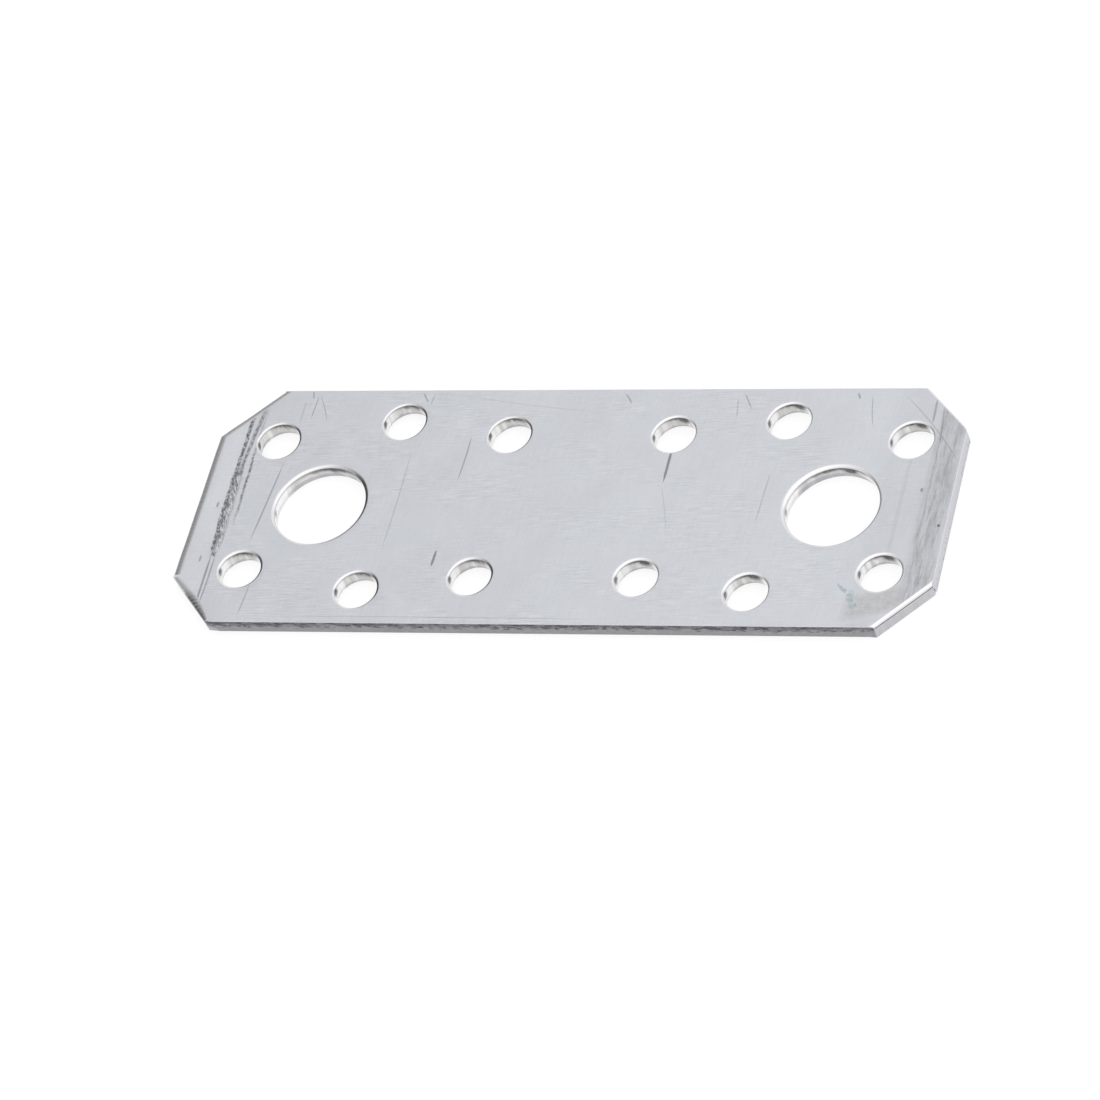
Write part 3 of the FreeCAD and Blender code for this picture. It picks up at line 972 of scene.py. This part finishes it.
def zinc_finish():
    """The whole plate's material, from the faces' rolling lines to the sheared rims."""
    material = bpy.data.materials.new("zinc_coated_steel_finish")
    nodes = Nodes(material)
    metres = nodes.add("ShaderNodeTexCoord", output="Object")
    place = nodes.vector("MULTIPLY", metres, (1 / MM, 1 / MM, 1 / MM))
    x, y, z = (nodes.dot(place, axis) for axis in ((1.0, 0, 0), (0, 1.0, 0), (0, 0, 1.0)))
    rolled, wall, torn, slit, dirt, shine = (nodes.mark(name) for name in MARKS)
    face = 1 - (rolled + wall).clipped()

    # fine rolling lines, a little off the long way, and soft clouds
    left_wear = x.rise(-43.0, -45.0)
    line_area = drawn_noise(nodes, place, 0, 0.08, 0.20).rise(0.42, 0.60) * 1.3 + 0.25
    lines = drawn_noise(nodes, place, ROLLING_ANGLE, 0.35, 5.0, 4.0, 0.75) - 0.5
    lines = lines * line_area * (1 - (left_wear + x.rise(30.0, 44.0)) * 0.6)
    crossing = drawn_noise(nodes, place, CROSSING_ANGLE, 4.0, 0.30, 3.0, 0.7) - 0.5
    spots = drawn_noise(nodes, place, SPOT_ANGLE, 1.2, 2.6, 4.0, 0.7) - 0.5
    cloud = nodes.noise(place, 0.16, 3.0, 0.6) - 0.5
    tint = nodes.noise(place, 0.24, 4.0, 0.6).rise(0.40, 0.60)
    grain = nodes.noise(place, 3.0, 2.0, 0.6) - 0.5

    # scratches, scuffs and the stain
    cut = all_scratches(nodes, place)
    scuffed, bared, scuff_lift = left_scuff(nodes, place, x, y)
    runs, brown = stain(nodes, place, x, y)
    dark = cut.most(scuffed * 0.85) * face
    colour = nodes.mixed(tint, LILAC_ZINC, GREEN_ZINC)
    colour = nodes.mixed(bared * face * 0.6, colour, BRIGHT_COLOUR)
    colour = nodes.mixed(right_rub(nodes, place, x, y) * face, colour, RUB_COLOUR)
    colour = nodes.mixed(dark, colour, DARK_COLOUR)
    colour = nodes.mixed(brown * face * 0.50, colour, BROWN_COLOUR)
    colour = nodes.mixed(runs * face * 0.7, colour, BLUE_COLOUR)

    # the rolled edges with their painted highlight, the walls with their painted reflection, and
    # painted shade on the rims
    colour = nodes.mixed(rolled, colour, ROLLED_HIGHLIGHT_COLOUR)
    wall_colour, striation, ragged = wall_finish(nodes, place, x, z, torn, slit, shine)
    colour = nodes.mixed(wall, colour, wall_colour)
    shaded = (dirt * (1 + striation)).clipped() * 0.92
    colour = nodes.mixed(shaded, colour, PAINTED_SHADE_COLOUR)

    # light and dark of the face, its gloss and its relief
    fine_tone = lines * 0.45 + crossing * 0.16 + grain * 0.08 + spots * (0.05 + left_wear * 0.09)
    tone = 1 + (cloud * 0.10 + fine_tone + left_wear * 0.07) * face
    colour = nodes.add("ShaderNodeVectorMath", {"operation": "SCALE"}, {0: colour, "Scale": tone})
    rough = 0.38 + (cloud * 0.15 + lines * 0.3 + dark * 0.25) * face
    rough = rough - rolled * 0.14 + torn * 0.12 + slit * wall * 0.1
    height = (lines * 1.4 + crossing * 0.6 + grain * 0.5 - cut * 2.0 + scuff_lift * 3.5) * face
    height = height + striation * wall + ragged * wall * slit * 4
    relief = {"Strength": 1.0, "Distance": BUMP_HEIGHT * MM, "Height": height}
    bump = nodes.add("ShaderNodeBump", None, relief)
    surface = {"Base Color": colour, "Metallic": 1.0, "Roughness": rough, "Normal": bump}
    shader = nodes.add("ShaderNodeBsdfPrincipled", None, surface)
    nodes.add("ShaderNodeOutputMaterial", None, {"Surface": shader})
    print("finish:", len(nodes.tree.nodes), "nodes")
    return material


plate_mesh.materials.append(zinc_finish())

# %% [markdown]
# ## Floor
#
# The plate lies on plain white paper. A diffuse floor alone renders pale grey,
# and more light to whiten it would burn out the plate. So for the camera, and
# for what the metal reflects, part of the floor's brightness is its own glow.
# The rest is lit, and keeps the plate's shadow.

# %% The floor
FLOOR_REACH = 3.0
FLOOR_GLOW_SHARE = 0.68
FLOOR_GLOW = 1.12
FLOOR_DROP = 0.02
PAPER_COLOUR = (0.85, 0.85, 0.85, 1.0)
WHITE = (1.0, 1.0, 1.0, 1.0)
floor_mesh = bpy.data.meshes.new("floor")
square = np.array([(-1, -1, 0), (1, -1, 0), (1, 1, 0), (-1, 1, 0)]) * FLOOR_REACH
floor_mesh.from_pydata((square - (0, 0, FLOOR_DROP * MM)).tolist(), [], [(0, 1, 2, 3)])
floor = bpy.data.objects.new("floor", floor_mesh)
bpy.context.scene.collection.objects.link(floor)


def seen_or_reflected(nodes):
    """1 for rays from the camera, off a gloss or through glass, 0 for the light in a room."""
    kinds = ("Camera", "Glossy", "Transmission")
    camera, gloss, glass = (nodes.add("ShaderNodeLightPath", output=f"Is {k} Ray") for k in kinds)
    return camera.most(gloss).most(glass)


paper = bpy.data.materials.new("white_paper")
nodes = Nodes(paper)
lit = nodes.add("ShaderNodeBsdfDiffuse", None, {"Color": PAPER_COLOUR})
glow = nodes.add("ShaderNodeEmission", None, {"Color": WHITE, "Strength": FLOOR_GLOW})
factor = seen_or_reflected(nodes) * FLOOR_GLOW_SHARE
both = nodes.add("ShaderNodeMixShader", None, {0: factor, 1: lit, 2: glow})
nodes.add("ShaderNodeOutputMaterial", None, {"Surface": both})
floor_mesh.materials.append(paper)

# %% [markdown]
# ## Light
#
# Bare metal has no colour of its own to speak of: it shows the room. The room
# is a white studio, written as a formula of the direction: an even level, a
# wide soft ceiling light a little to the right, and a dim corner low on the
# left. Rims that tilt towards the camera catch the ceiling and turn white,
# those that tilt away catch the dim corner. The rims also carry a painted
# highlight, painted shade and painted reflection in their colour.

# %% The room
CEILING_WAY = Vector((0.30, -0.05, 0.95)).normalized()
DIM_WAY = Vector((-0.85, 0.45, 0.25)).normalized()
EVEN_LEVEL, CEILING_LEVEL, DIM_SHARE = 0.98, 0.37, 0.60

world = bpy.data.worlds.new("studio")
bpy.context.scene.world = world
nodes = Nodes(world)
way = nodes.add("ShaderNodeTexCoord", output="Generated")
ceiling = nodes.dot(way, tuple(CEILING_WAY)).rise(0.64, 0.82)
dim = nodes.dot(way, tuple(DIM_WAY)).rise(0.78, 0.90)
level = (EVEN_LEVEL + ceiling * CEILING_LEVEL) * (1 - dim * DIM_SHARE)
camera_ray = nodes.add("ShaderNodeLightPath", output="Is Camera Ray")
level = level + camera_ray * (1 - level)
backdrop = nodes.add("ShaderNodeBackground", None, {"Color": WHITE, "Strength": level})
nodes.add("ShaderNodeOutputWorld", None, {"Surface": backdrop})

# %% [markdown]
# ## Camera
#
# The photo was taken from well above, from the front right, with a long lens
# and the camera rolled to bring the long edges level. The direction, distance
# and roll come from fitting a camera to the edges and holes in the photo.

# %% The camera
CAMERA_AIM = Vector((-0.325, -6.607, 2.0)) * MM
CAMERA_AWAY = 817.42 * MM
CAMERA_AZIMUTH, CAMERA_ELEVATION, CAMERA_ROLL = np.radians((33.004, 48.178, -25.57))
SENSOR, FOCAL_LENGTH = 36.0, 226.86

camera_data = bpy.data.cameras.new("camera")
camera_data.sensor_width = SENSOR
camera_data.lens = FOCAL_LENGTH
camera_data.clip_start, camera_data.clip_end = 0.01, 20.0
camera = bpy.data.objects.new("camera", camera_data)
bpy.context.scene.collection.objects.link(camera)
flat, up = np.cos(CAMERA_ELEVATION), np.sin(CAMERA_ELEVATION)
back = Vector((np.sin(CAMERA_AZIMUTH) * flat, -np.cos(CAMERA_AZIMUTH) * flat, up))
camera.location = CAMERA_AIM + back * CAMERA_AWAY
camera.rotation_mode = "QUATERNION"
camera.rotation_quaternion = (-back).to_track_quat("-Z", "Y") @ Quaternion((0, 0, 1), CAMERA_ROLL)
bpy.context.scene.camera = camera
bpy.context.scene.view_settings.view_transform = "Standard"
